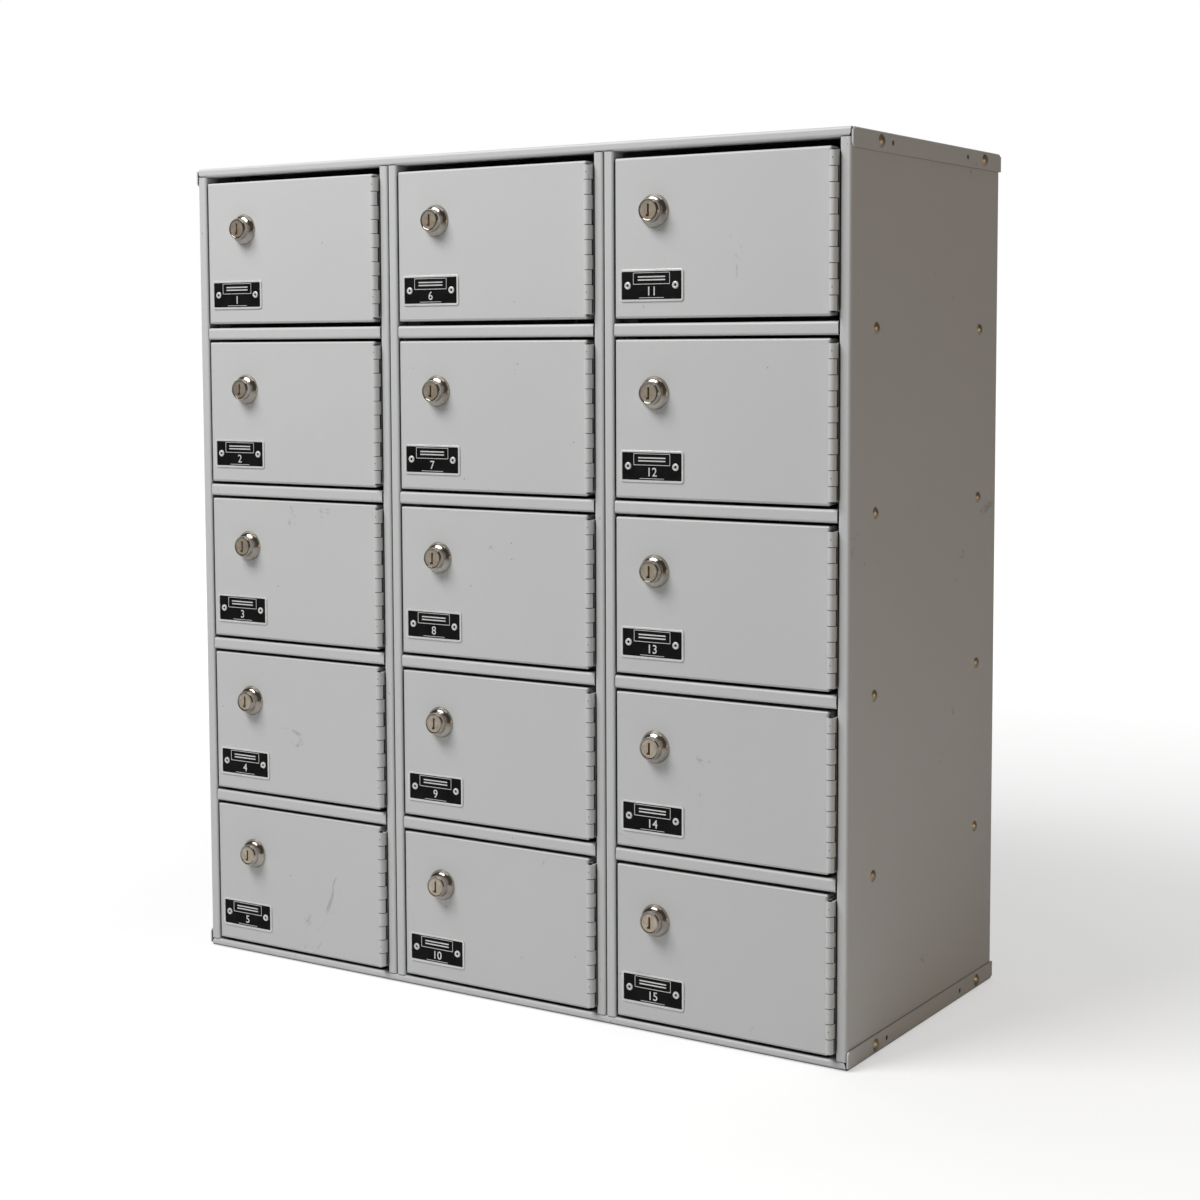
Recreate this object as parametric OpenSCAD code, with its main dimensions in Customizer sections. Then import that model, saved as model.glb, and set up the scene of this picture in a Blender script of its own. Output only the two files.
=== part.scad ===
// Parcel locker: a sheet-steel cabinet with three columns of five small key-locked doors.
// Millimetres. +Z is up, the doors face -Y, and the origin is the middle of the footprint.

/* [Cabinet] */
// Width over the two side panels
body_w = 695.4; // [640:0.1:760]
// Depth from the front face to the back face
body_d = 304.8; // [260:0.1:380]
// Height from the base to the top
body_h = 762; // [720:1:840]
// Thickness of the cabinet's sheet steel
sheet = 1.5; // [1.2:0.1:1.6]
// Inside radius of every bend in the sheet
bend_r = 1; // [0.8:0.1:1.2]

/* [Front frame] */
// Height of the top panel's front flange
top_flange_h = 8; // [7:0.5:12]
// Height of the base panel's front flange
base_flange_h = 7.2; // [7:0.1:12]
// Extra opening height above the top row of doors
top_row_extra = 5.4; // [3:0.1:12]
// Depth of the lip folded back from the top and base panels' front flanges
lip_d = 16; // [10:1:20]
// Width of a side panel's front flange
side_flange_w = 10.2; // [9:0.1:14]
// Width of a divider's front flange
divider_flange_w = 9.65; // [9:0.05:14]
// Gap between two dividers that stand back to back
divider_gap = 0.6; // [0.4:0.1:2]
// Depth of the jamb folded back from each upright flange
jamb_d = 16; // [15:0.5:18]
// Width of the flanges folded in along the back
rear_flange_w = 8; // [6:0.5:8]
// Height of the top and base panels' flanges that lap the sides and the back
lap_h = 16.3; // [14:0.1:20]
// Corner radius of the flanges' free ends
corner_r = 4; // [3:0.5:5]

/* [Shelves] */
// Height of a shelf's front strip and of its other flanges
strip_h = 11.1; // [10:0.1:14]
// Depth of the lip folded back under the front strip
strip_lip_d = 8; // [5:1:12]
// Gap at each end of the front strip
strip_end_gap = 0.7; // [0.4:0.1:1.5]

/* [Doors] */
// Thickness of a door's sheet
door_sheet = 1.6; // [1.2:0.1:2]
// Depth of a door pan
door_d = 14; // [12:0.5:14.5]
// Radius of a door pan's edges and corners
door_r = 2.2; // [1.8:0.1:2.5]
// Gap under and over a door
door_gap = 2.5; // [2:0.1:4]
// How much higher the top row's doors sit in their openings
top_row_lift = 1.5; // [0:0.1:3]
// Gap beside a door's free edge
door_side_gap = 1.6; // [1.4:0.1:3]

/* [Hinges] */
// Number of knuckles on one hinge
knuckles = 10; // [8:2:10]
// Height of one knuckle, with the gap to the next
knuckle_pitch = 12.7; // [11:0.1:12.7]
// Gap between two knuckles
knuckle_gap = 0.6; // [0.3:0.1:0.6]
// Outside radius of a knuckle
knuckle_r = 3.5; // [3.3:0.1:3.6]
// Thickness of a hinge leaf
leaf = 1.6; // [1.4:0.1:1.7]
// Radius of the hinge pin
pin_r = 1.6; // [1.4:0.1:1.6]
// How far the pin stands out of the knuckles at each end
pin_end = 0.8; // [0.5:0.1:1]
// How far the hinge pin's axis stands in front of the front face
pin_stand = 3.3; // [3.2:0.1:3.6]
// Radius of the stake mark that holds the pin
stake_r = 0.5; // [0.3:0.1:0.6]

/* [Locks] */
// From a door's free edge to the lock's axis, in the middle column
lock_inset = 42.5; // [40:0.5:60]
// How much that distance falls from one column to the next
lock_inset_step = 3.5; // [0:0.5:4]
// From a door's top edge to the lock's axis
lock_drop = 45; // [40:1:60]
// How far the lock's face stands out
lock_stand = 10.5; // [9:0.5:12]
// Radius of the lock's trim ring
trim_r = 14.2; // [13:0.1:16]
// Radius of the lock's head
head_r = 10; // [9.8:0.1:11]
// Radius of the lock's threaded barrel
barrel_r = 9.5; // [9.2:0.1:9.8]
// Depth of the barrel behind the front face
barrel_d = 18.2; // [18.2:0.1:20]
// Radius of the plug that the key turns
plug_r = 7.7; // [7:0.1:8]
// Thickness of the lock's nut
nut_h = 5; // [4:0.5:6]
// Distance across the flats of the lock's nut
nut_af = 24; // [22:1:26]
// Length of the cam from the lock's axis to its tip
cam_len = 38; // [36:1:42]
// Width of the cam
cam_w = 15; // [12:1:18]
// Thickness of the cam
cam_t = 2; // [1.5:0.5:2.5]
// Side of the square drive that carries the cam
drive_w = 8; // [7:0.5:9]
// Width of the strike that the cam closes behind
strike_w = 14; // [12:1:18]

/* [Nameplates] */
// Width of a nameplate
plate_w = 62; // [50:1:66]
// Height of a nameplate
plate_h = 27; // [20:1:30]
// Thickness of a nameplate
plate_t = 0.8; // [0.6:0.1:1.2]
// Corner radius of a nameplate
plate_r = 2; // [1:0.5:3]
// From a door's free edge to the nameplate's middle
plate_inset = 36.5; // [36:0.5:50]
// From a door's bottom edge to the nameplate's middle
plate_rise = 27.5; // [20:0.5:32]
// Distance between a nameplate's two rivets
plate_rivet_gap = 46.6; // [36:0.2:50]

/* [Fasteners] */
// Radius of a shelf rivet's head
rivet_head_r = 5; // [4:0.1:6]
// Radius of a shelf rivet's shank
rivet_r = 2.4; // [2:0.1:2.8]
// From the front face to the front row of shelf rivets
rivet_front_y = 48; // [40:1:60]
// From the front face to the rear row of shelf rivets
rivet_rear_y = 262.5; // [200:0.5:270]
// Radius of a case bolt's head
bolt_head_r = 5.5; // [4.5:0.1:6]
// Radius of a case bolt's shank
bolt_r = 3; // [2.5:0.1:3.2]
// From the front face to the front case bolts
bolt_front_y = 52; // [45:1:60]
// From the front face to the rear case bolts
bolt_rear_y = 267; // [200:1:270]
// From the base or the top to the case bolts and the joining holes
bolt_rise = 8; // [7.5:0.1:9]
// Radius of a joining hole
join_r = 2.2; // [1.5:0.1:3]
// From the front face to the front joining holes
join_front_y = 74; // [70:1:90]
// Distance between the front and the rear joining holes
join_span = 155; // [100:1:180]
// Radius of a wall-mounting hole
wall_hole_r = 3.5; // [2.5:0.1:4]
// Distance between wall-mounting holes, side to side
wall_hole_w = 406.4; // [380:0.1:420]
// Distance between wall-mounting holes, up and down
wall_hole_h = 609.6; // [590:0.1:620]

/* [Hidden] */
$fn = 48;
columns = 3;
rows = 5;
door_count = columns * rows;
// Gap between two sheets that lie face to face
seam = 0.1;
// Running clearance of the hinge pin and of the lock's plug
run = 0.05;
// Clearance of a shank in its hole
hole_gap = 0.15;
// Outside radius of a bend
bend_out = bend_r + sheet;
opening_h = (body_h - top_flange_h - base_flange_h - top_row_extra - (rows - 1) * strip_h) / rows;
mullion_w = 2 * divider_flange_w + divider_gap;
opening_w = (body_w - 2 * side_flange_w - (columns - 1) * mullion_w) / columns;
door_h = opening_h - 2 * door_gap;
back_face_y = body_d - 2 * (sheet + seam);
front_y = -(body_d - lock_stand) / 2;
hinge_h = knuckles * knuckle_pitch;
axis_to_jamb = knuckle_r + seam;
door_w = opening_w - door_side_gap - axis_to_jamb - knuckle_r - seam;
strike_y = jamb_d + seam;
cam_y = barrel_d + 0.3;
eyelet_r = 1.6;
screw_r = 2;
upright_z0 = base_flange_h + seam;
upright_z1 = body_h - top_flange_h - seam;
steel = [0.74, 0.75, 0.75];
side_steel = [0.66, 0.66, 0.63];
nickel = [0.78, 0.76, 0.72];
zinc = [0.72, 0.68, 0.58];
black = [0.08, 0.08, 0.09];

function two(n) = n < 10 ? str("0", n) : str(n);
function numbered(name, tail) = [for (n = [1:door_count]) str(name, two(n), tail)];

// Door n stands in column (n - 1) / rows, counted from the left, and rows count down from the top.
function column_of(n) = floor((n - 1) / rows);
function row_of(n) = (n - 1) % rows;
function opening_x(column) = side_flange_w + column * (opening_w + mullion_w);
function opening_z(row) = base_flange_h + (rows - 1 - row) * (opening_h + strip_h);
function left_flange(column) = column == 0 ? side_flange_w : divider_flange_w;
function right_flange(column) = column == columns - 1 ? side_flange_w : divider_flange_w;
function door_x(n) = opening_x(column_of(n)) + door_side_gap;
function door_z(n) = opening_z(row_of(n)) + door_gap + (row_of(n) == 0 ? top_row_lift : 0);
function axis_x(n) = opening_x(column_of(n)) + opening_w - axis_to_jamb;
function lock_x(n) = lock_inset + (1 - column_of(n)) * lock_inset_step;
function hinge_z(n) = door_z(n) + (door_h - hinge_h) / 2;

// Moves a piece drawn from the front left corner of the base into the part's frame.
module placed() {
    translate([-body_w / 2, front_y, 0]) children();
}

// Turns a shape drawn along Z so that it points along +Y, with its own X kept.
module along_y() {
    rotate([-90, 0, 0]) children();
}

// Turns a shape drawn along Z so that it points along +X.
module along_x() {
    rotate([0, 90, 0]) children();
}

// A flat outline of folded sheet that follows a path of right-angled turns along its middle.
module folded(path, t, inside_r) {
    mid_r = inside_r + t / 2;
    last = len(path) - 1;
    for (i = [0:last - 1]) {
        step = path[i + 1] - path[i];
        dir = step / norm(step);
        side = [abs(dir[1]), abs(dir[0])] * t / 2;
        from = path[i] + dir * (i == 0 ? 0 : mid_r);
        to = path[i + 1] - dir * (i == last - 1 ? 0 : mid_r);
        low = [min(from[0], to[0]), min(from[1], to[1])] - side;
        high = [max(from[0], to[0]), max(from[1], to[1])] + side;
        translate(low) square(high - low);
    }
    for (i = [1:1:last - 1]) {
        before = (path[i] - path[i - 1]) / norm(path[i] - path[i - 1]);
        after = (path[i + 1] - path[i]) / norm(path[i + 1] - path[i]);
        middle = path[i] - before * mid_r + after * mid_r;
        reach = (before - after) * (mid_r + t);
        intersection() {
            translate(middle) difference() {
                circle(mid_r + t / 2);
                circle(mid_r - t / 2);
            }
            translate([min(middle[0], middle[0] + reach[0]), min(middle[1], middle[1] + reach[1])])
                square([abs(reach[0]), abs(reach[1])]);
        }
    }
}

// A folded outline in Y and Z, carried along X.
module folded_along_x(path, x0, x1) {
    translate([x0, 0, 0]) rotate([90, 0, 90]) linear_extrude(x1 - x0)
        folded(path, sheet, bend_r);
}

// A folded outline in X and Z, carried along Y.
module folded_along_y(path, y0, y1) {
    translate([0, y1, 0]) rotate([90, 0, 0]) linear_extrude(y1 - y0)
        folded(path, sheet, bend_r);
}

// What is cut from a flat corner to round it: the corner lies at the origin, the sheet at +X +Y.
module corner_waste(r) {
    difference() {
        translate([-1, -1]) square(r + 1);
        translate([r, r]) circle(r);
    }
}

// A rectangle with round corners, from the origin.
module rounded(w, h, r) {
    translate([r, 0]) square([w - 2 * r, h]);
    translate([0, r]) square([w, h - 2 * r]);
    for (x = [r, w - r], y = [r, h - r]) translate([x, y]) circle(r);
}

// Holes through both side panels' flanges, near the base: the bolts' and the joining holes.
module side_holes() {
    reach = 12;
    for (x = [0, body_w], y = [bolt_front_y, bolt_rear_y])
        translate([x - reach / 2, y, bolt_rise]) along_x() cylinder(r = bolt_r + hole_gap, h = reach);
    for (x = [0, body_w], y = [join_front_y, join_front_y + join_span])
        translate([x - reach / 2, y, bolt_rise]) along_x() cylinder(r = join_r, h = reach);
}

// The base panel, or the top panel upside down: a tray with a lipped front flange of height
// front_h, a rear flange, and side flanges that lap the side panels.
module tray(front_h) {
    edge = sheet + seam;
    mid = sheet / 2;
    difference() {
        union() {
            folded_along_x([[lip_d, front_h - mid], [mid, front_h - mid], [mid, mid],
                [body_d - mid, mid], [body_d - mid, lap_h]], bend_out - edge, body_w + edge - bend_out);
            for (side = [0, 1])
                translate([side * body_w, 0, 0]) mirror([side, 0, 0]) {
                    folded_along_y([[mid - edge, lap_h], [mid - edge, mid], [2 * bend_out, mid]],
                        bend_out, body_d - bend_out);
                    translate([-edge, 0, bend_out]) cube([sheet, body_d, lap_h - bend_out]);
                }
        }
        // Round corners: the side laps' free front ends, and the front flange's free ends.
        for (side = [0, 1])
            translate([side * body_w, 0, 0]) mirror([side, 0, 0]) {
                translate([-edge - 1, 0, lap_h]) rotate([90, 0, 90]) linear_extrude(sheet + 2)
                    mirror([0, 1]) corner_waste(corner_r);
                translate([bend_out - edge, lip_d + 1, front_h]) rotate([90, 0, 0])
                    linear_extrude(lip_d + 2) mirror([0, 1]) corner_waste(corner_r);
            }
        side_holes();
    }
}

module base_panel() {
    color(steel) placed() tray(base_flange_h);
}

module top_panel() {
    color(steel) placed() translate([0, 0, body_h]) mirror([0, 0, 1]) tray(top_flange_h);
}

// Shelf rivet holes through a web whose face is at x.
module rivet_holes(x) {
    for (row = [0:rows - 2], y = [rivet_front_y, rivet_rear_y])
        translate([x - 10, y, opening_z(row) - strip_h / 2]) along_x()
            cylinder(r = rivet_r + hole_gap, h = 20);
}

// An upright sheet beside an opening: a jamb, a front flange, a web, and a rear flange that is
// folded towards the opening. The jamb's open face is at x = 0, and the sheet goes to +X.
module upright(flange_w, rear_y, rear_z0, rear_z1) {
    mid = sheet / 2;
    web_x = flange_w - mid;
    translate([0, 0, upright_z0]) linear_extrude(upright_z1 - upright_z0)
        folded([[mid, jamb_d], [mid, mid], [web_x, mid], [web_x, rear_y - 3 * bend_out]], sheet, bend_r);
    translate([web_x - mid, lip_d + seam, bend_out])
        cube([sheet, rear_y - 2 * bend_out - lip_d, body_h - 2 * bend_out]);
    translate([0, 0, rear_z0]) linear_extrude(rear_z1 - rear_z0)
        folded([[web_x, rear_y - 4 * bend_out], [web_x, rear_y - mid],
            [web_x - rear_flange_w, rear_y - mid]], sheet, bend_r);
}

module side_panel() {
    difference() {
        translate([body_w - side_flange_w, 0, 0])
            upright(side_flange_w, body_d, lap_h + seam, body_h - lap_h - seam);
        rivet_holes(body_w);
        side_holes();
        translate([0, 0, body_h]) mirror([0, 0, 1]) side_holes();
    }
}

module right_side_panel() {
    color(side_steel) placed() side_panel();
}

module left_side_panel() {
    color(side_steel) placed() translate([body_w, 0, 0]) mirror([1, 0, 0]) side_panel();
}

// The divider on the right of a column, which carries that column's hinges.
module right_divider(column) {
    x = opening_x(column) + opening_w;
    color(steel) placed() difference() {
        translate([x, 0, 0])
            upright(divider_flange_w, back_face_y, bend_out, body_h - bend_out);
        rivet_holes(x + divider_flange_w);
    }
}

// The divider on the left of a column, which carries that column's strikes.
module left_divider(column) {
    x = opening_x(column);
    color(steel) placed() difference() {
        translate([x, 0, 0]) mirror([1, 0, 0])
            upright(divider_flange_w, back_face_y, bend_out, body_h - bend_out);
        rivet_holes(x - divider_flange_w);
    }
}

module back_panel() {
    inset = bend_out;
    color(steel) placed() difference() {
        translate([inset, back_face_y + seam, inset])
            cube([body_w - 2 * inset, sheet, body_h - 2 * inset]);
        for (x = [-1, 1] * wall_hole_w / 2, z = [-1, 1] * wall_hole_h / 2)
            translate([body_w / 2 + x, body_d - 2 * lap_h, body_h / 2 + z]) along_y()
                cylinder(r = wall_hole_r, h = 3 * lap_h);
    }
}

// One shelf: its strip shows between the uprights, and its tray is wider behind the jambs.
module shelf(column, row) {
    mid = sheet / 2;
    left = opening_x(column) - left_flange(column) + sheet + seam;
    right = opening_x(column) + opening_w + right_flange(column) - sheet - seam;
    strip_x0 = opening_x(column) + strip_end_gap;
    strip_x1 = opening_x(column) + opening_w - strip_end_gap;
    wide_y = jamb_d + lip_d / 4;
    end_y = back_face_y - sheet - 2 * seam;
    top = opening_z(row) - mid;
    low = opening_z(row) - strip_h;
    difference() {
        union() {
            folded_along_x([[strip_lip_d, low + mid], [mid, low + mid], [mid, top],
                [wide_y + strip_h, top]], strip_x0, strip_x1);
            folded_along_x([[wide_y, top], [end_y - mid, top], [end_y - mid, low]],
                left + bend_out, right - bend_out);
            folded_along_y([[left + mid, low], [left + mid, top], [left + 3 * bend_out, top]],
                wide_y, end_y - bend_out);
            folded_along_y([[right - mid, low], [right - mid, top], [right - 3 * bend_out, top]],
                wide_y, end_y - bend_out);
        }
        for (x = [left, right], y = [rivet_front_y, rivet_rear_y])
            translate([x - 10, y, opening_z(row) - strip_h / 2]) along_x()
                cylinder(r = rivet_r + hole_gap, h = 20);
    }
}

module shelves() {
    color(steel) placed()
        for (column = [0:columns - 1], row = [0:rows - 2]) shelf(column, row);
}

// Each opening's strike: an angle inside the left jamb, with its flange behind the door's edge.
module strikes() {
    mid = sheet / 2;
    clear = 1;
    color(steel) placed()
        for (column = [0:columns - 1], row = [0:rows - 1]) {
            leg_x = opening_x(column) - sheet - bend_r - mid;
            translate([0, 0, opening_z(row) + clear]) linear_extrude(opening_h - 2 * clear)
                folded([[leg_x, jamb_d / 3], [leg_x, strike_y + mid],
                    [opening_x(column) + strike_w, strike_y + mid]], sheet, bend_r);
        }
}

// One leaf of a hinge, with its pin's axis at the origin and its foot at z = 0. The leaf lies on
// the +X side and goes back along +Y. first is 0 if it has the lowest knuckle, or 1.
module hinge_leaf(first, leaf_d) {
    clear = 0.3;
    difference() {
        union() {
            translate([knuckle_r - leaf, knuckle_r + clear, 0])
                cube([leaf, leaf_d - knuckle_r - clear, hinge_h]);
            for (i = [first:2:knuckles - 1])
                translate([0, 0, i * knuckle_pitch + knuckle_gap / 2])
                    linear_extrude(knuckle_pitch - knuckle_gap) {
                        circle(knuckle_r);
                        translate([knuckle_r - leaf, 0]) square([leaf, 2 * knuckle_r]);
                    }
        }
        translate([0, 0, -1]) cylinder(r = pin_r + run, h = hinge_h + 2);
    }
}

// The stake marks that hold a hinge's pin, on the frame leaf's top and second lowest knuckles.
module stake_marks() {
    for (z = [hinge_h - knuckle_pitch / 2, 1.5 * knuckle_pitch])
        translate([0, 0, z]) rotate([90, 0, 12])
            translate([0, 0, knuckle_r - stake_r]) cylinder(r = stake_r, h = 1);
}

module hinge_frame_leaves() {
    color(steel) placed()
        for (n = [1:door_count])
            translate([axis_x(n), -pin_stand, hinge_z(n)]) difference() {
                hinge_leaf(1, jamb_d + pin_stand - 1);
                stake_marks();
            }
}

module hinge_pins() {
    color(steel) placed()
        for (n = [1:door_count])
            translate([axis_x(n), -pin_stand, hinge_z(n) - pin_end])
                cylinder(r = pin_r, h = hinge_h + 2 * pin_end);
}

// One rivet through every sheet between two faces, with a domed head on the +X side.
module shelf_rivet(x0, x1, y, z, head_r) {
    head_h = 2.2;
    tail_h = 1.6;
    tail_r = rivet_head_r * 0.6;
    dome_r = (head_r * head_r + head_h * head_h) / (2 * head_h);
    translate([x0 - tail_h, y, z]) along_x() {
        cylinder(r = rivet_r, h = x1 - x0 + tail_h + head_h / 2);
        cylinder(r = tail_r, h = tail_h);
    }
    translate([x1, y, z]) along_x() intersection() {
        translate([0, 0, head_h - dome_r]) sphere(dome_r, $fn = 64);
        cylinder(r = head_r, h = head_h);
    }
}

// The rivets' heads are wide outside the cabinet, and narrow inside the shelves' bends.
module shelf_rivets() {
    grip = 2 * sheet + seam;
    inner_head_r = rivet_head_r * 0.6;
    color(zinc) placed()
        for (row = [0:rows - 2], y = [rivet_front_y, rivet_rear_y]) {
            z = opening_z(row) - strip_h / 2;
            shelf_rivet(body_w - grip, body_w, y, z, rivet_head_r);
            translate([body_w, 0, 0]) mirror([1, 0, 0])
                shelf_rivet(body_w - grip, body_w, y, z, rivet_head_r);
            for (column = [0:columns - 2]) {
                middle = opening_x(column) + opening_w + mullion_w / 2;
                reach = divider_gap / 2 + grip;
                shelf_rivet(middle - reach, middle + reach, y, z, inner_head_r);
            }
        }
}

// One case bolt through a lap and a side panel, with its nut inside. The lap's face is at x = 0.
module case_bolt() {
    head_h = 2.4;
    grip = 2 * sheet + seam;
    nut = 3;
    dome_r = (bolt_head_r * bolt_head_r + head_h * head_h) / (2 * head_h);
    along_x() {
        intersection() {
            translate([0, 0, head_h - dome_r]) sphere(dome_r, $fn = 64);
            cylinder(r = bolt_head_r, h = head_h);
        }
        translate([0, 0, -grip - nut - 1]) cylinder(r = bolt_r, h = grip + nut + 2);
        translate([0, 0, -grip - nut]) difference() {
            cylinder(r = bolt_head_r, h = nut, $fn = 6);
            translate([0, 0, -1]) cylinder(r = bolt_r + run, h = nut + 2);
        }
    }
}

module case_bolts() {
    color(zinc) placed()
        for (y = [bolt_front_y, bolt_rear_y], z = [bolt_rise, body_h - bolt_rise], side = [0, 1])
            translate([body_w / 2, y, z]) mirror([side, 0, 0])
                translate([body_w / 2 + sheet + seam, 0, 0]) case_bolt();
}

// A block with the outline of a door, whose front edges and corners are rounded.
module door_block(w, h, d, r) {
    intersection() {
        translate([0, d, 0]) rotate([90, 0, 0]) linear_extrude(d) rounded(w, h, r);
        linear_extrude(h) rounded(w, d + 2 * r, r);
        rotate([90, 0, 90]) linear_extrude(w) rounded(d + 2 * r, h, r);
    }
}

// A door's pan: a front sheet with a flange folded back on each side.
module door_pan(n) {
    inner_r = door_r - door_sheet;
    difference() {
        door_block(door_w, door_h, door_d, door_r);
        translate([door_sheet, door_sheet, door_sheet])
            door_block(door_w - 2 * door_sheet, door_h - 2 * door_sheet, door_d, inner_r);
        translate([lock_x(n), -1, door_h - lock_drop]) along_y()
            cylinder(r = barrel_r + hole_gap, h = door_sheet + 2);
        for (x = [-1, 1] * plate_rivet_gap / 2)
            translate([plate_inset + x, -1, plate_rise]) along_y()
                cylinder(r = eyelet_r + hole_gap, h = door_sheet + 2);
    }
}

module door(n) {
    color(steel) placed() {
        translate([door_x(n), 0, door_z(n)]) door_pan(n);
        translate([axis_x(n), -pin_stand, hinge_z(n)]) mirror([1, 0, 0])
            hinge_leaf(0, door_d + pin_stand - 1);
    }
}

// The lock's body in one piece: its trim ring, its head and its threaded barrel.
module lock_body() {
    bore_r = plug_r + run;
    chamfer = 1.4;
    color(nickel) along_y() rotate_extrude() polygon([
        [bore_r, -lock_stand], [head_r - chamfer, -lock_stand], [head_r, chamfer - lock_stand],
        [head_r, -5.5], [head_r + 0.8, -5], [trim_r - 0.6, -1.5], [trim_r, 0],
        [barrel_r, 0], [barrel_r, barrel_d], [bore_r, barrel_d]]);
}

module lock_nut() {
    color(zinc) translate([0, door_sheet + seam, 0]) along_y() difference() {
        cylinder(r = nut_af / 2 / cos(30), h = nut_h, $fn = 6);
        translate([0, 0, -1]) cylinder(r = barrel_r + run, h = nut_h + 2);
    }
}

// A plate with a raised rim and two rivet holes; its back is at y = 0, its middle at the origin.
module nameplate() {
    rim = 2;
    color(black) difference() {
        translate([-plate_w / 2, 0, -plate_h / 2]) rotate([90, 0, 0]) linear_extrude(plate_t)
            rounded(plate_w, plate_h, plate_r);
        translate([rim - plate_w / 2, -plate_t / 2, rim - plate_h / 2]) rotate([90, 0, 0])
            linear_extrude(plate_t) rounded(plate_w - 2 * rim, plate_h - 2 * rim, plate_r / 2);
        for (x = [-1, 1] * plate_rivet_gap / 2)
            translate([x, -plate_t - 1, 0]) along_y() cylinder(r = eyelet_r + hole_gap, h = plate_t + 2);
    }
}

// A hollow rivet that holds a nameplate on its door.
module eyelet() {
    flange_r = 3.2;
    flange_h = 0.9;
    seat = plate_t / 2;
    color(nickel) along_y() rotate_extrude() polygon([
        [eyelet_r - 0.6, -seat - flange_h], [flange_r - 0.4, -seat - flange_h],
        [flange_r, 0.4 - seat - flange_h], [flange_r, -seat], [eyelet_r, -seat],
        [eyelet_r, door_sheet], [flange_r - 0.6, door_sheet], [flange_r - 0.6, door_sheet + 0.6],
        [eyelet_r - 0.6, door_sheet + 0.6]]);
}

module door_fittings(n) {
    placed() {
        translate([door_x(n) + lock_x(n), 0, door_z(n) + door_h - lock_drop]) {
            lock_body();
            lock_nut();
        }
        translate([door_x(n) + plate_inset, 0, door_z(n) + plate_rise]) {
            nameplate();
            for (x = [-1, 1] * plate_rivet_gap / 2) translate([x, 0, 0]) eyelet();
        }
    }
}

// The plug that the key turns: a slotted face in front, and a square drive behind.
module plug() {
    face = 0.4 - lock_stand;
    key_h = 10.4;
    key_w = 1.9;
    key_d = 9;
    color(nickel) difference() {
        union() {
            translate([0, face, 0]) along_y() cylinder(r = plug_r, h = cam_y - seam - face);
            translate([-drive_w / 2, 0, -drive_w / 2]) cube([drive_w, cam_y + cam_t, drive_w]);
        }
        translate([-key_w / 2, face - 1, -key_h / 2]) cube([key_w, key_d + 1, key_h]);
        translate([-key_w * 1.2, face - 1, -key_h / 2]) cube([key_w * 1.2, key_d + 1, key_w]);
        translate([0, cam_y - 8, 0]) along_y() cylinder(r = screw_r + hole_gap, h = 20);
    }
}

// The cam: it hangs down when the door is unlocked, and turns to -X behind the strike.
module cam() {
    color(zinc) translate([0, cam_y + cam_t, 0]) rotate([90, 0, 0]) linear_extrude(cam_t)
        difference() {
            union() {
                circle(cam_w / 2);
                translate([-cam_w / 2, cam_w / 2 - cam_len]) square([cam_w, cam_len - cam_w / 2]);
                translate([-cam_w / 2, -cam_len]) rounded(cam_w, cam_w, corner_r);
            }
            square(drive_w + 2 * run, center = true);
        }
}

module cam_screw() {
    color(zinc) along_y() {
        translate([0, 0, cam_y + cam_t + seam]) cylinder(r = cam_w / 2 - 1, h = 2);
        translate([0, 0, cam_y - 6]) cylinder(r = screw_r, h = cam_t + 7);
    }
}

module lock_plug(n) {
    placed() translate([door_x(n) + lock_x(n), 0, door_z(n) + door_h - lock_drop]) {
        plug();
        cam();
        cam_screw();
    }
}

top_panel();
base_panel();
left_side_panel();
right_side_panel();
right_divider(0);  // divider_1_left
left_divider(1);  // divider_1_right
right_divider(1);  // divider_2_left
left_divider(2);  // divider_2_right
back_panel();
shelves();
strikes();
hinge_frame_leaves();
hinge_pins();
shelf_rivets();
case_bolts();
for (n = [1:door_count]) {
    door(n);
    door_fittings(n);
    lock_plug(n);
}
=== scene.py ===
import bpy
from math import radians, cos, pi
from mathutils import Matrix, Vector


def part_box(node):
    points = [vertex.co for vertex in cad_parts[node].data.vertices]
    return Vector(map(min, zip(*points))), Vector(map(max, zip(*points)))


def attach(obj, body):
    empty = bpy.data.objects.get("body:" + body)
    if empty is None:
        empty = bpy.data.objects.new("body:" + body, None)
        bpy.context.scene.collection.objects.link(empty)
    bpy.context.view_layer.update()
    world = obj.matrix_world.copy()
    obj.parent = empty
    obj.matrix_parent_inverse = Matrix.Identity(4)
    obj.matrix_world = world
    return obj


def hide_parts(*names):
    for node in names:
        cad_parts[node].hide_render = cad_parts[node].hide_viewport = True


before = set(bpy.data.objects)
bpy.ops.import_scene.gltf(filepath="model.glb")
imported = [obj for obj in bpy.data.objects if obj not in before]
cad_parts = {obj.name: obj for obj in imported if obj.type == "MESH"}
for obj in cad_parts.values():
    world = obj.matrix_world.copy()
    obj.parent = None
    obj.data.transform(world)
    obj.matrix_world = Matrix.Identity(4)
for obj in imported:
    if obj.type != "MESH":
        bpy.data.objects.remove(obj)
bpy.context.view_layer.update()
print("the packed cabinet is in")

mm = 0.001
doorNumbers = range(1, 16)
frontY = -0.14715  # the plane of the door fronts

# The camera: where it stands, where it points, and its lens
cameraSet = {"place": (1.0856, -1.6684, 0.5881), "turn": (85.437, 0.2475, 33.020), "lens": 63.33,
             "shiftX": 0.0125, "shiftY": -0.0691}
camData = bpy.data.cameras.new("camera")
camData.lens = cameraSet["lens"]
camData.shift_x = cameraSet["shiftX"]
camData.shift_y = cameraSet["shiftY"]
camera = bpy.data.objects.new("camera", camData)
camera.location = cameraSet["place"]
camera.rotation_euler = [radians(a) for a in cameraSet["turn"]]
bpy.context.scene.collection.objects.link(camera)
bpy.context.scene.camera = camera
print("camera is set")


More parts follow.
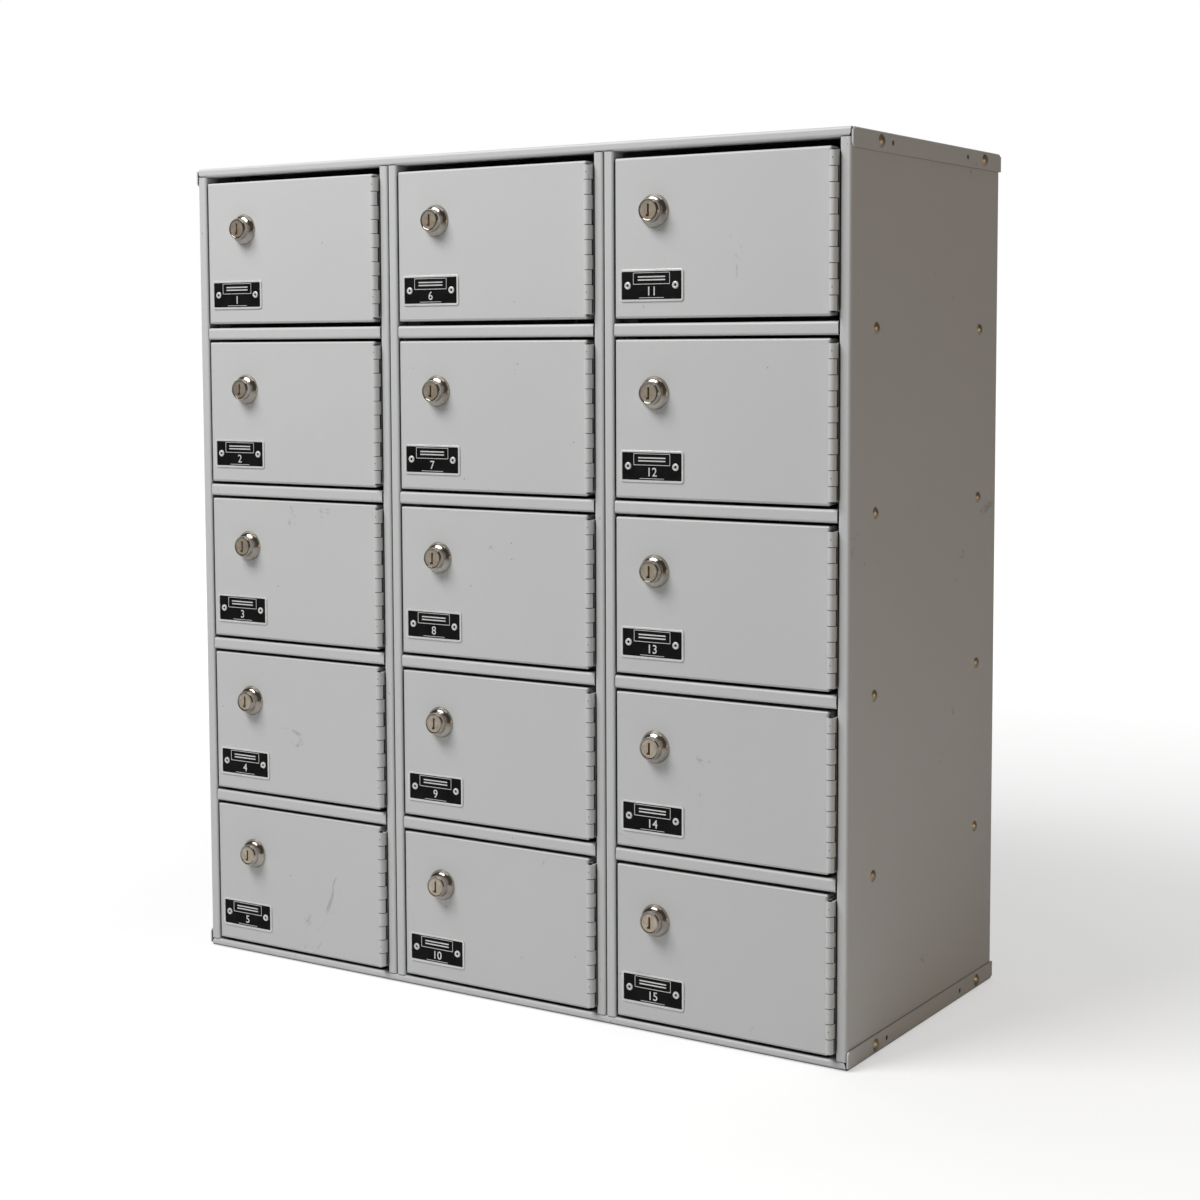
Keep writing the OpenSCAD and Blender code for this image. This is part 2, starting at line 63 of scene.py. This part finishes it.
# Short helpers for the shader trees
def newMaterial(name):
    material = bpy.data.materials.new(name)
    material.use_nodes = True
    return material, material.node_tree.nodes, material.node_tree.links


def addNode(nodes, kind, settings=None, inputs=None):
    node = nodes.new(kind)
    for key, value in (settings or {}).items():
        setattr(node, key, value)
    for key, value in (inputs or {}).items():
        node.inputs[key].default_value = value
    return node


def addRamp(nodes, stops):
    ramp = nodes.new("ShaderNodeValToRGB")
    marks = ramp.color_ramp.elements
    while len(marks) < len(stops):
        marks.new(0.5)
    for mark, (place, shade) in zip(marks, stops):
        mark.position = place
        mark.color = (shade, shade, shade, 1) if isinstance(shade, float) else (*shade, 1)
    return ramp


# Orange peel: the fine skin of sprayed powder paint, as a height and as a slow drift in tone
def makePeelGroup():
    group = bpy.data.node_groups.new("orangePeel", "ShaderNodeTree")
    group.interface.new_socket("Place", in_out="INPUT", socket_type="NodeSocketVector")
    group.interface.new_socket("Grain size", in_out="INPUT", socket_type="NodeSocketFloat")
    group.interface.new_socket("Height", in_out="OUTPUT", socket_type="NodeSocketFloat")
    group.interface.new_socket("Drift", in_out="OUTPUT", socket_type="NodeSocketFloat")
    group.interface.new_socket("Specks", in_out="OUTPUT", socket_type="NodeSocketFloat")
    nodes, links = group.nodes, group.links
    entry = nodes.new("NodeGroupInput")
    leave = nodes.new("NodeGroupOutput")
    fine = addNode(nodes, "ShaderNodeTexNoise", inputs={"Detail": 3.0, "Roughness": 0.6})
    broad = addNode(nodes, "ShaderNodeTexNoise", inputs={"Scale": 5.0, "Detail": 4.0, "Roughness": 0.5})
    dots = addNode(nodes, "ShaderNodeTexVoronoi", inputs={"Scale": 42.0, "Randomness": 1.0})
    cut = addNode(nodes, "ShaderNodeMath", {"operation": "LESS_THAN"}, {1: 0.028})
    links.new(entry.outputs["Place"], fine.inputs["Vector"])
    links.new(entry.outputs["Grain size"], fine.inputs["Scale"])
    links.new(entry.outputs["Place"], broad.inputs["Vector"])
    links.new(entry.outputs["Place"], dots.inputs["Vector"])
    links.new(dots.outputs["Distance"], cut.inputs[0])
    links.new(fine.outputs["Fac"], leave.inputs["Height"])
    links.new(broad.outputs["Fac"], leave.inputs["Drift"])
    links.new(cut.outputs["Value"], leave.inputs["Specks"])
    return group


# Painted highlight and wear: a painted highlight brightens the folded edges where they catch the light, and
# thin wandering scuffs are real wear
def makeWearGroup():
    group = bpy.data.node_groups.new("edgeWear", "ShaderNodeTree")
    group.interface.new_socket("Place", in_out="INPUT", socket_type="NodeSocketVector")
    group.interface.new_socket("EdgeHighlight", in_out="OUTPUT", socket_type="NodeSocketFloat")
    group.interface.new_socket("Scuff", in_out="OUTPUT", socket_type="NodeSocketFloat")
    nodes, links = group.nodes, group.links
    entry = nodes.new("NodeGroupInput")
    leave = nodes.new("NodeGroupOutput")
    shape = nodes.new("ShaderNodeNewGeometry")
    # Painted highlight: pointiness picks out the folded edges to be brightened
    edge = addNode(nodes, "ShaderNodeMapRange", inputs={"From Min": 0.505, "From Max": 0.58})
    scratch = addNode(nodes, "ShaderNodeTexNoise", inputs={"Scale": 9.0, "Detail": 8.0, "Roughness": 0.7,
                                                           "Distortion": 1.4})
    thin = addNode(nodes, "ShaderNodeMapRange", inputs={"From Min": 0.655, "From Max": 0.70})
    links.new(shape.outputs["Pointiness"], edge.inputs["Value"])
    links.new(entry.outputs["Place"], scratch.inputs["Vector"])
    links.new(scratch.outputs["Fac"], thin.inputs["Value"])
    links.new(edge.outputs["Result"], leave.inputs["EdgeHighlight"])
    links.new(thin.outputs["Result"], leave.inputs["Scuff"])
    return group


peelGroup = makePeelGroup()
highlightAndScuffGroup = makeWearGroup()


# Powder paint: tone drifts slowly, folds get a painted highlight, crevices get painted shade, and a few dark
# specks sit in the skin
def makePaint(name, look):
    material, nodes, links = newMaterial(name)
    shader = nodes["Principled BSDF"]
    shader.inputs["Specular IOR Level"].default_value = 0.5
    shader.inputs["Coat Weight"].default_value = look["coat"]
    shader.inputs["Coat Roughness"].default_value = 0.22
    place = nodes.new("ShaderNodeTexCoord")
    peel = addNode(nodes, "ShaderNodeGroup", {"node_tree": peelGroup}, {"Grain size": look["grain"]})
    highlightAndScuff = addNode(nodes, "ShaderNodeGroup", {"node_tree": highlightAndScuffGroup})
    tone = addRamp(nodes, [(0.3, look["low"]), (0.7, look["high"])])
    # Painted highlight: a pale grey is mixed into the base colour along the folded edges
    lit = addNode(nodes, "ShaderNodeMix", {"data_type": "RGBA"}, {7: (*look["edge"], 1)})
    rubbed = addNode(nodes, "ShaderNodeMix", {"data_type": "RGBA"}, {7: (*look["scuff"], 1)})
    spotted = addNode(nodes, "ShaderNodeMix", {"data_type": "RGBA"}, {7: (0.09, 0.09, 0.09, 1)})
    edgeShare = addNode(nodes, "ShaderNodeMath", {"operation": "MULTIPLY"}, {1: 0.6})
    scuffShare = addNode(nodes, "ShaderNodeMath", {"operation": "MULTIPLY"}, {1: look["scuffs"]})
    speckShare = addNode(nodes, "ShaderNodeMath", {"operation": "MULTIPLY"}, {1: look["specks"]})
    # Painted shade: an ambient-occlusion mask darkens the base colour to near black in crevices, gaps and
    # round the hinge knuckles
    near = addNode(nodes, "ShaderNodeAmbientOcclusion", {"samples": 8}, {"Distance": 0.007})
    corner = addNode(nodes, "ShaderNodeMapRange", inputs={
        "From Min": 0.25, "From Max": 0.72, "To Min": look["creviceShade"], "To Max": 0.0})
    shadedCrevices = addNode(nodes, "ShaderNodeMix", {"data_type": "RGBA"}, {7: (0.02, 0.02, 0.02, 1)})
    gloss = addRamp(nodes, [(0.3, look["rough"] - 0.03), (0.7, look["rough"] + 0.04)])
    bump = addNode(nodes, "ShaderNodeBump", inputs={"Strength": look["bump"], "Distance": 0.0004})
    links.new(place.outputs["Object"], peel.inputs["Place"])
    links.new(place.outputs["Object"], highlightAndScuff.inputs["Place"])
    links.new(peel.outputs["Drift"], tone.inputs["Fac"])
    links.new(highlightAndScuff.outputs["EdgeHighlight"], edgeShare.inputs[0])
    links.new(highlightAndScuff.outputs["Scuff"], scuffShare.inputs[0])
    links.new(peel.outputs["Specks"], speckShare.inputs[0])
    links.new(edgeShare.outputs["Value"], lit.inputs[0])
    links.new(tone.outputs["Color"], lit.inputs[6])
    links.new(scuffShare.outputs["Value"], rubbed.inputs[0])
    links.new(lit.outputs[2], rubbed.inputs[6])
    links.new(speckShare.outputs["Value"], spotted.inputs[0])
    links.new(rubbed.outputs[2], spotted.inputs[6])
    links.new(near.outputs["AO"], corner.inputs["Value"])
    links.new(corner.outputs["Result"], shadedCrevices.inputs[0])
    links.new(spotted.outputs[2], shadedCrevices.inputs[6])
    links.new(shadedCrevices.outputs[2], shader.inputs["Base Color"])
    links.new(peel.outputs["Drift"], gloss.inputs["Fac"])
    links.new(gloss.outputs["Color"], shader.inputs["Roughness"])
    links.new(peel.outputs["Height"], bump.inputs["Height"])
    links.new(bump.outputs["Normal"], shader.inputs["Normal"])
    return material


# Metal: turned or plated, with a drifting tint and a fine grain of wear in its gloss and surface
def makeMetal(name, look):
    material, nodes, links = newMaterial(name)
    shader = nodes["Principled BSDF"]
    shader.inputs["Metallic"].default_value = look["metal"]
    shader.inputs["Specular IOR Level"].default_value = look.get("specular", 0.5)
    place = nodes.new("ShaderNodeTexCoord")
    broad = addNode(nodes, "ShaderNodeTexNoise", inputs={"Scale": look["scale"], "Detail": 5.0})
    fine = addNode(nodes, "ShaderNodeTexNoise", inputs={"Scale": look["scale"] * 14, "Detail": 3.0})
    tone = addRamp(nodes, [(0.32, look["low"]), (0.68, look["high"])])
    gloss = addRamp(nodes, [(0.3, look["rough"]), (0.75, look["rough"] + look["spread"])])
    bump = addNode(nodes, "ShaderNodeBump", inputs={"Strength": look["bump"], "Distance": 0.0002})
    links.new(place.outputs["Object"], broad.inputs["Vector"])
    links.new(place.outputs["Object"], fine.inputs["Vector"])
    links.new(broad.outputs["Fac"], tone.inputs["Fac"])
    links.new(tone.outputs["Color"], shader.inputs["Base Color"])
    links.new(fine.outputs["Fac"], gloss.inputs["Fac"])
    links.new(gloss.outputs["Color"], shader.inputs["Roughness"])
    links.new(fine.outputs["Fac"], bump.inputs["Height"])
    links.new(bump.outputs["Normal"], shader.inputs["Normal"])
    return material


greyPaint = makePaint("greyPowderPaint", {
    "low": (0.50, 0.51, 0.51), "high": (0.545, 0.555, 0.55), "edge": (0.86, 0.87, 0.86),
    "scuff": (0.36, 0.35, 0.33), "scuffs": 0.6, "specks": 0.55, "creviceShade": 0.92,
    "rough": 0.42, "coat": 0.12, "grain": 520.0, "bump": 0.16})
# Painted shade: a darker copy of the grey powder paint for the strikes, which sit inside the cabinet in
# shade
shadedInsidePaint = makePaint("innerPowderPaintShaded", {
    "low": (0.33, 0.335, 0.33), "high": (0.38, 0.385, 0.38), "edge": (0.5, 0.5, 0.49),
    "scuff": (0.25, 0.24, 0.22), "scuffs": 0.4, "specks": 0.4, "creviceShade": 0.6,
    "rough": 0.5, "coat": 0.05, "grain": 480.0, "bump": 0.2})
lockNickel = makeMetal("polishedNickel", {
    "low": (0.36, 0.33, 0.29), "high": (0.56, 0.52, 0.47), "metal": 1.0,
    "scale": 60.0, "rough": 0.09, "spread": 0.10, "bump": 0.05})
plugNickel = makeMetal("brushedPlug", {
    "low": (0.60, 0.50, 0.38), "high": (0.80, 0.71, 0.58), "metal": 0.8,
    "scale": 220.0, "rough": 0.30, "spread": 0.18, "bump": 0.22})
# Painted shade: the hinge pins are near black so the gaps between the knuckles read as dark lines
pinSteelAsShade = makeMetal("pinSteelPaintedShade", {
    "low": (0.02, 0.02, 0.02), "high": (0.06, 0.06, 0.06), "metal": 0.6,
    "scale": 200.0, "rough": 0.5, "spread": 0.2, "bump": 0.1})
zincPlate = makeMetal("dullZincPlate", {
    "low": (0.44, 0.39, 0.30), "high": (0.66, 0.61, 0.50), "metal": 1.0,
    "scale": 160.0, "rough": 0.28, "spread": 0.2, "bump": 0.12})
rimSilver = makeMetal("plateSilver", {
    "low": (0.84, 0.84, 0.83), "high": (0.96, 0.96, 0.95), "metal": 0.15,
    "scale": 90.0, "rough": 0.24, "spread": 0.14, "bump": 0.06})
plateBlack = makeMetal("plateBlack", {
    "low": (0.004, 0.004, 0.004), "high": (0.010, 0.010, 0.011), "metal": 0.0, "specular": 0.12,
    "scale": 70.0, "rough": 0.50, "spread": 0.15, "bump": 0.08})
print("materials are mixed")


# The CAD's sheet metal, hinges, plugs and rivets keep their shapes and get their finishes here
def dress(name, material):
    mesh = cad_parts[name].data
    mesh.materials.clear()
    mesh.materials.append(material)


cabinetFinish = {
    "top_panel": greyPaint, "base_panel": greyPaint, "left_side_panel": greyPaint,
    "right_side_panel": greyPaint, "divider_1_left": greyPaint, "divider_1_right": greyPaint,
    "divider_2_left": greyPaint, "divider_2_right": greyPaint, "back_panel": greyPaint,
    "shelves": greyPaint, "strikes": shadedInsidePaint, "hinge_frame_leaves": greyPaint,
    "hinge_pins": pinSteelAsShade, "shelf_rivets": zincPlate, "case_bolts": zincPlate}
for nodeName, finish in cabinetFinish.items():
    dress(nodeName, finish)
for number in doorNumbers:
    dress(f"door_{number:02d}", greyPaint)
    dress(f"door_{number:02d}_lock_plug", plugNickel)
print("the cabinet's own parts are finished")


def deselectAll():
    if bpy.context.object and bpy.context.object.mode != "OBJECT":
        bpy.ops.object.mode_set(mode="OBJECT")
    bpy.ops.object.select_all(action="DESELECT")


def activate(piece):
    deselectAll()
    piece.select_set(True)
    bpy.context.view_layer.objects.active = piece


# Turns a ring by hand: each step of the outline, given as (radius, y), is one extrude and one resize
def turnRing(name, outline, segments, material):
    deselectAll()
    radius, place = outline[0]
    bpy.ops.mesh.primitive_circle_add(vertices=segments, radius=radius * mm, location=(0, place * mm, 0),
                                      rotation=(pi / 2, 0, 0))
    ring = bpy.context.object
    bpy.ops.object.transform_apply(location=True, rotation=True, scale=True)
    bpy.ops.object.mode_set(mode="EDIT")
    bpy.ops.mesh.select_all(action="SELECT")
    for nextRadius, nextPlace in outline[1:] + outline[:1]:
        bpy.ops.mesh.extrude_region_move(
            TRANSFORM_OT_translate={"value": (0, (nextPlace - place) * mm, 0)})
        size = nextRadius / radius
        bpy.ops.transform.resize(value=(size, 1, size), center_override=(0, nextPlace * mm, 0))
        radius, place = nextRadius, nextPlace
    bpy.ops.mesh.select_all(action="SELECT")
    bpy.ops.mesh.remove_doubles(threshold=0.000002)
    bpy.ops.mesh.normals_make_consistent(inside=False)
    bpy.ops.object.mode_set(mode="OBJECT")
    ring.name = name
    ring.data.materials.append(material)
    bpy.ops.object.shade_smooth_by_angle(angle=radians(32))
    return ring


# A copy with its own mesh, moved in its mesh so that its object stays at the origin
def placeCopy(piece, name, x, z):
    copy = piece.copy()
    copy.data = piece.data.copy()
    copy.name = name
    bpy.context.scene.collection.objects.link(copy)
    activate(copy)
    copy.location = (x, frontY, z)
    bpy.ops.object.transform_apply(location=True, rotation=True, scale=True)
    return copy


# The lock's body: threaded barrel, convex trim ring, groove and head
lockSet = {"stand": 10.5, "headRadius": 10.0, "trimRadius": 14.2, "boreRadius": 7.8, "barrelRadius": 9.5,
           "barrelEnd": 18.2, "threadPitch": 1.25, "plugRadius": 7.7}


def makeLockBody(s):
    front = -s["stand"]
    outline = [(s["boreRadius"], front + 0.9), (s["boreRadius"] + 0.15, front + 0.25),
               (s["boreRadius"] + 0.5, front + 0.05), (s["headRadius"] - 1.3, front),
               (s["headRadius"] - 0.95, front + 0.06), (s["headRadius"] - 0.1, front + 1.2),
               (s["headRadius"], front + 1.5), (s["headRadius"], -5.6), (s["headRadius"] + 0.25, -5.45),
               (s["headRadius"] + 0.35, -5.0), (s["headRadius"] + 0.8, -4.8),
               (s["headRadius"] + 1.7, -4.25), (s["headRadius"] + 2.6, -3.3),
               (s["trimRadius"] - 0.8, -2.0), (s["trimRadius"] - 0.25, -0.9), (s["trimRadius"], -0.25),
               (s["trimRadius"], 0.0), (s["barrelRadius"], 0.0), (s["barrelRadius"], 6.8)]
    y = 7.0
    while y < s["barrelEnd"] - 1.4:  # the thread behind the nut, as fine rings
        outline += [(s["barrelRadius"], y), (s["barrelRadius"] - 0.55, y + s["threadPitch"] / 2)]
        y += s["threadPitch"]
    outline += [(s["barrelRadius"], y), (s["barrelRadius"] - 0.4, s["barrelEnd"]),
                (s["boreRadius"], s["barrelEnd"])]
    return turnRing("lockBody", outline, 72, lockNickel)


# The nut behind the door: a six-sided ring with its corners eased
nutSet = {"acrossFlats": 24.0, "front": 1.75, "height": 4.9, "bore": 9.56}


def makeLockNut(s):
    outer = s["acrossFlats"] / 2 / cos(pi / 6)
    back = s["front"] + s["height"]
    outline = [(s["bore"], s["front"]), (outer, s["front"]), (outer, back), (s["bore"], back)]
    nut = turnRing("lockNut", outline, 6, zincPlate)
    bevel = nut.modifiers.new("ease", "BEVEL")
    bevel.width = 0.35 * mm
    bevel.segments = 2
    activate(nut)
    bpy.ops.object.modifier_apply(modifier=bevel.name)
    return nut


# The nameplate: a black field in a raised silver rim, a blank framed panel, a number and a fine rule
plateSet = {"width": 62.0, "height": 27.0, "corner": 2.6, "thick": 0.8, "rim": 2.0, "fieldLevel": -0.47,
            "panelWidth": 36.0, "panelHeight": 10.0, "panelRise": 5.9, "panelLine": 0.45, "panelStand": 0.18,
            "barWidth": 27.0, "barHeight": 1.1, "barRise": 1.3, "barStep": 2.6, "barStand": 0.12,
            "numberHeight": 7.4, "numberRise": -4.6, "numberLevel": -0.52, "capShare": 0.70,
            "ruleWidth": 24.0, "ruleRise": -10.3, "ruleThick": 0.45, "ruleStand": 0.12, "rivetAt": 23.3}


def roundedSlab(name, width, height, corner, front, back, z, x=0.0):
    deselectAll()
    bpy.ops.mesh.primitive_plane_add(size=1, location=(x * mm, back * mm, z * mm), rotation=(pi / 2, 0, 0))
    slab = bpy.context.object
    slab.scale = (width * mm, height * mm, 1)
    bpy.ops.object.transform_apply(location=True, rotation=True, scale=True)
    bpy.ops.object.mode_set(mode="EDIT")
    bpy.ops.mesh.select_all(action="SELECT")
    if corner:
        bpy.ops.mesh.bevel(offset=corner * mm, segments=8, affect="VERTICES")
    bpy.ops.mesh.select_all(action="SELECT")
    bpy.ops.mesh.extrude_region_move(TRANSFORM_OT_translate={"value": (0, (front - back) * mm, 0)})
    bpy.ops.mesh.select_all(action="SELECT")
    bpy.ops.mesh.normals_make_consistent(inside=False)
    bpy.ops.object.mode_set(mode="OBJECT")
    slab.name = name
    return slab


def selectFrontFaces(piece, y):
    bpy.ops.object.mode_set(mode="EDIT")
    bpy.ops.mesh.select_all(action="DESELECT")
    bpy.ops.object.mode_set(mode="OBJECT")
    for face in piece.data.polygons:
        face.select = abs(face.center.y - y * mm) < 0.00002 and face.normal.y < -0.9
    bpy.ops.object.mode_set(mode="EDIT")


def joinPieces(name, pieces):
    deselectAll()
    for piece in pieces:
        piece.select_set(True)
    bpy.context.view_layer.objects.active = pieces[0]
    bpy.ops.object.join()
    joined = bpy.context.object
    joined.name = name
    return joined


def makePlate(s):
    plate = roundedSlab("plate", s["width"], s["height"], s["corner"], -s["thick"], 0.0, 0.0)
    plate.data.materials.append(rimSilver)
    plate.data.materials.append(plateBlack)
    activate(plate)
    selectFrontFaces(plate, -s["thick"])
    bpy.ops.mesh.inset(thickness=0.25 * mm, depth=0.12 * mm)
    bpy.ops.mesh.inset(thickness=(s["rim"] - 0.6) * mm, depth=0)
    bpy.ops.mesh.inset(thickness=0.2 * mm, depth=-0.45 * mm)
    plate.active_material_index = 1
    bpy.ops.object.material_slot_assign()
    bpy.ops.object.mode_set(mode="OBJECT")
    return plate


# The panel's frame is a thin raised line round nothing
def makePanel(s):
    level = s["fieldLevel"]
    front = level - s["panelStand"]
    panel = roundedSlab("panel", s["panelWidth"], s["panelHeight"], 0.5, front, level, s["panelRise"])
    panel.data.materials.append(rimSilver)
    panel.data.materials.append(plateBlack)
    activate(panel)
    selectFrontFaces(panel, front)
    bpy.ops.mesh.inset(thickness=s["panelLine"] * mm, depth=0)
    bpy.ops.mesh.inset(thickness=0.05 * mm, depth=-0.14 * mm)
    panel.active_material_index = 1
    bpy.ops.object.material_slot_assign()
    bpy.ops.object.mode_set(mode="OBJECT")
    bars = []
    for index in range(2):
        rise = s["panelRise"] + s["barRise"] - s["barStep"] * index
        bar = roundedSlab("bar", s["barWidth"], s["barHeight"], 0.5, level - s["barStand"], level, rise)
        bar.data.materials.append(rimSilver)
        bars.append(bar)
    return joinPieces("panel", [panel] + bars)


def makeRule(s):
    level = s["fieldLevel"]
    front = level - s["ruleStand"]
    rule = roundedSlab("rule", s["ruleWidth"], s["ruleThick"], 0.15, front, level, s["ruleRise"])
    rule.data.materials.append(rimSilver)
    return rule


def makeNumber(name, number, s):
    deselectAll()
    bpy.ops.object.text_add(location=(0, 0, 0))
    digits = bpy.context.object
    digits.data.body = str(number)
    digits.data.align_x = "CENTER"
    digits.data.size = s["numberHeight"] / s["capShare"] * mm
    digits.data.offset = 0.05 * mm
    digits.data.extrude = 0.08 * mm
    bpy.ops.object.convert(target="MESH")
    digits = bpy.context.object
    digits.rotation_euler = (pi / 2, 0, 0)
    digits.location = (0, s["numberLevel"] * mm, (s["numberRise"] - s["numberHeight"] / 2) * mm)
    bpy.ops.object.transform_apply(location=True, rotation=True, scale=True)
    bpy.ops.object.mode_set(mode="EDIT")
    bpy.ops.mesh.select_all(action="SELECT")
    bpy.ops.mesh.remove_doubles(threshold=0.000003)
    bpy.ops.mesh.normals_make_consistent(inside=False)
    bpy.ops.object.mode_set(mode="OBJECT")
    digits.data.materials.clear()
    digits.data.materials.append(rimSilver)
    digits.name = name
    return digits


# The hollow rivets at the plate's ends, with a black disc of painted shade in the hollow seen through their
# middle
eyeletSet = {"head": 3.15, "bore": 1.15, "tube": 1.6, "flare": 2.6}


def makeEyelet(s):
    outline = [(s["bore"], 2.2), (s["bore"], -0.7), (s["bore"] + 0.25, -1.2), (s["bore"] + 0.8, -1.4),
               (s["head"] - 0.7, -1.35), (s["head"] - 0.2, -1.05), (s["head"], -0.62), (s["head"], -0.42),
               (s["tube"], -0.42), (s["tube"], 1.6), (s["flare"], 1.65), (s["flare"] - 0.1, 2.1)]
    eyelet = turnRing("eyelet", outline, 32, rimSilver)
    # Painted shade: a black disc fills the rivet's bore, where the hollow is in shade
    boreShadeOuter, boreShadeInner = s["bore"] - 0.02, 0.02
    boreShadeLine = [(boreShadeOuter, 0.6), (boreShadeInner, 0.6), (boreShadeInner, -0.35), (boreShadeOuter, -0.35)]
    boreShade = turnRing("boreShade", boreShadeLine, 32, plateBlack)
    return joinPieces("eyelet", [eyelet, boreShade])


lockBody = makeLockBody(lockSet)
lockNut = makeLockNut(nutSet)
plate = makePlate(plateSet)
panel = makePanel(plateSet)
rule = makeRule(plateSet)
eyelet = makeEyelet(eyeletSet)
masters = [lockBody, lockNut, plate, panel, rule, eyelet]
print("the lock, the plate and the rivet are modelled")

rivetAt = plateSet["rivetAt"] * mm
for number in doorNumbers:
    door = f"door_{number:02d}"
    fittings = door + "_fittings"
    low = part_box(fittings)[0]
    plugLow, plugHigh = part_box(door + "_lock_plug")
    lockX, lockZ = (plugLow.x + plugHigh.x) / 2, plugHigh.z - lockSet["plugRadius"] * mm
    plateX, plateZ = low.x + plateSet["width"] / 2 * mm, low.z + plateSet["height"] / 2 * mm
    pieces = [(placeCopy(lockBody, f"lock_body_{number:02d}", lockX, lockZ), "lock_nickel"),
              (placeCopy(lockNut, f"lock_nut_{number:02d}", lockX, lockZ), "zinc"),
              (placeCopy(plate, f"plate_{number:02d}", plateX, plateZ), "plate_black"),
              (placeCopy(panel, f"plate_panel_{number:02d}", plateX, plateZ), "plate_black"),
              (placeCopy(rule, f"plate_rule_{number:02d}", plateX, plateZ), "plate_black"),
              (placeCopy(eyelet, f"rivet_left_{number:02d}", plateX - rivetAt, plateZ), "zinc"),
              (placeCopy(eyelet, f"rivet_right_{number:02d}", plateX + rivetAt, plateZ), "zinc")]
    digits = makeNumber("digits", number, plateSet)
    pieces.append((placeCopy(digits, f"plate_number_{number:02d}", plateX, plateZ), "plate_black"))
    bpy.data.objects.remove(digits)
    for piece, slotName in pieces:
        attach(piece, door)
    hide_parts(fittings)
for master in masters:
    bpy.data.objects.remove(master)
print("every door has its lock, plate and number")


# The floor and a soft studio
floorSet = {"size": 60.0, "tone": (0.72, 0.72, 0.72), "nearReach": 0.5, "farReach": 2.6,
            "nearGlow": 0.50, "farGlow": 0.98}


def makeFloor(s):
    deselectAll()
    bpy.ops.mesh.primitive_plane_add(size=s["size"], location=(0, 0, -0.0004))
    floor = bpy.context.object
    floor.name = "floor"
    bpy.ops.object.mode_set(mode="EDIT")
    bpy.ops.mesh.subdivide(number_cuts=3)
    bpy.ops.object.mode_set(mode="OBJECT")
    material, nodes, links = newMaterial("floorPaper")
    shader = nodes["Principled BSDF"]
    shader.inputs["Roughness"].default_value = 0.9
    shader.inputs["Emission Color"].default_value = (1, 1, 1, 1)
    place = nodes.new("ShaderNodeTexCoord")
    grain = addNode(nodes, "ShaderNodeTexNoise", inputs={"Scale": 3.0, "Detail": 4.0})
    tone = addRamp(nodes, [(0.3, tuple(v - 0.01 for v in s["tone"])), (0.7, s["tone"])])
    links.new(place.outputs["Object"], grain.inputs["Vector"])
    links.new(grain.outputs["Fac"], tone.inputs["Fac"])
    links.new(tone.outputs["Color"], shader.inputs["Base Color"])
    reach = addNode(nodes, "ShaderNodeVectorMath", {"operation": "LENGTH"})
    glow = addNode(nodes, "ShaderNodeMapRange", inputs={
        "From Min": s["nearReach"], "From Max": s["farReach"],
        "To Min": s["nearGlow"], "To Max": s["farGlow"]})
    links.new(place.outputs["Object"], reach.inputs[0])
    links.new(reach.outputs["Value"], glow.inputs["Value"])
    rays = nodes.new("ShaderNodeLightPath")
    seen = addNode(nodes, "ShaderNodeMath", {"operation": "MULTIPLY"})
    links.new(glow.outputs["Result"], seen.inputs[0])
    links.new(rays.outputs["Is Camera Ray"], seen.inputs[1])
    links.new(seen.outputs["Value"], shader.inputs["Emission Strength"])
    floor.data.materials.append(material)


lightSet = {
    "keySoftbox": {"place": (-0.8, -1.5, 2.35), "aim": (0, -0.1, 0.70), "size": (1.5, 1.1), "power": 47,
                   "tint": (1, 1, 1)},
    "frontFill": {"place": (0.6, -3.6, 1.1), "aim": (0, 0, 0.35), "size": (2.6, 1.8), "power": 3,
                  "tint": (1, 1, 1)},
    "topWash": {"place": (0.0, 0.2, 2.8), "aim": (0, 0, 0.6), "size": (2.0, 1.6), "power": 10,
                "tint": (1, 1, 1)},
    "sideFill": {"place": (3.2, 0.3, 0.4), "aim": (0.3, 0, 0.1), "size": (1.6, 0.8), "power": 6.3,
                 "tint": (1.0, 0.68, 0.36)}}


def makeLight(name, s):
    data = bpy.data.lights.new(name, "AREA")
    data.shape = "RECTANGLE"
    data.size, data.size_y = s["size"]
    data.energy = s["power"]
    data.color = s["tint"]
    lamp = bpy.data.objects.new(name, data)
    lamp.location = s["place"]
    direction = Vector(s["aim"]) - Vector(s["place"])
    lamp.rotation_euler = direction.to_track_quat("-Z", "Y").to_euler()
    bpy.context.scene.collection.objects.link(lamp)


# The studio: pale all round to the eye, dimmer for what the metal mirrors and for the fill light
studioSet = {"seen": 1.0, "fill": 0.10, "mirrored": 0.14, "mirrorTint": (0.66, 0.55, 0.44)}


def makeStudio(s):
    world = bpy.data.worlds.new("studio")
    world.use_nodes = True
    nodes, links = world.node_tree.nodes, world.node_tree.links
    leave = nodes["World Output"]
    fill = nodes["Background"]
    fill.inputs["Color"].default_value = (1, 1, 1, 1)
    fill.inputs["Strength"].default_value = s["fill"]
    mirrored = addNode(nodes, "ShaderNodeBackground", inputs={"Color": (*s["mirrorTint"], 1),
                                                              "Strength": s["mirrored"]})
    seen = addNode(nodes, "ShaderNodeBackground", inputs={"Color": (1, 1, 1, 1), "Strength": s["seen"]})
    rays = nodes.new("ShaderNodeLightPath")
    first = nodes.new("ShaderNodeMixShader")
    second = nodes.new("ShaderNodeMixShader")
    links.new(rays.outputs["Is Glossy Ray"], first.inputs[0])
    links.new(fill.outputs[0], first.inputs[1])
    links.new(mirrored.outputs[0], first.inputs[2])
    links.new(rays.outputs["Is Camera Ray"], second.inputs[0])
    links.new(first.outputs[0], second.inputs[1])
    links.new(seen.outputs[0], second.inputs[2])
    links.new(second.outputs[0], leave.inputs["Surface"])
    bpy.context.scene.world = world


makeFloor(floorSet)
for lightName, light in lightSet.items():
    makeLight(lightName, light)
makeStudio(studioSet)
bpy.context.scene.view_settings.view_transform = "Standard"
print("floor and lights are in")
